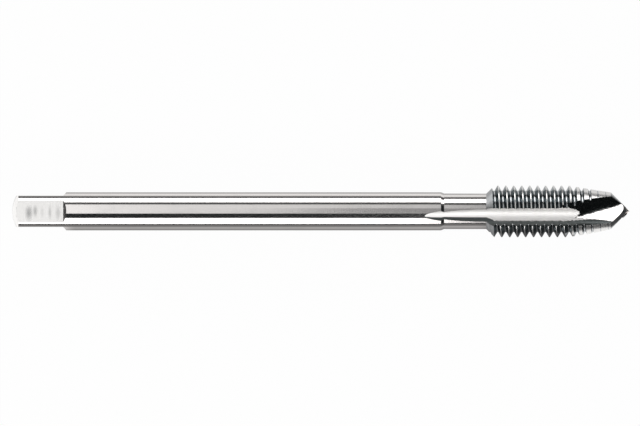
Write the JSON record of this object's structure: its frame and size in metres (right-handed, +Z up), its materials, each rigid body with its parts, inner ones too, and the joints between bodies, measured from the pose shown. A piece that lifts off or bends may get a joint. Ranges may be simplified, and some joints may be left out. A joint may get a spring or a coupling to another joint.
{
  "type": "machine tap",
  "caption": "Long machine tap with a square drive, a plain shank, a reduced neck, a fluted thread with a tapered lead, and a spiral point.",
  "frame": {"origin": "middle of the tap's length, under its axis, on the surface that it lies on", "axes": "+X along the tap towards its point, +Y to its side, +Z up"},
  "size_m": [0.097, 0.0082, 0.0081],
  "materials": {
    "steel": "bright ground high-speed steel"
  },
  "bodies": {
    "root": {"tap": "steel"}
  },
  "joints": []
}
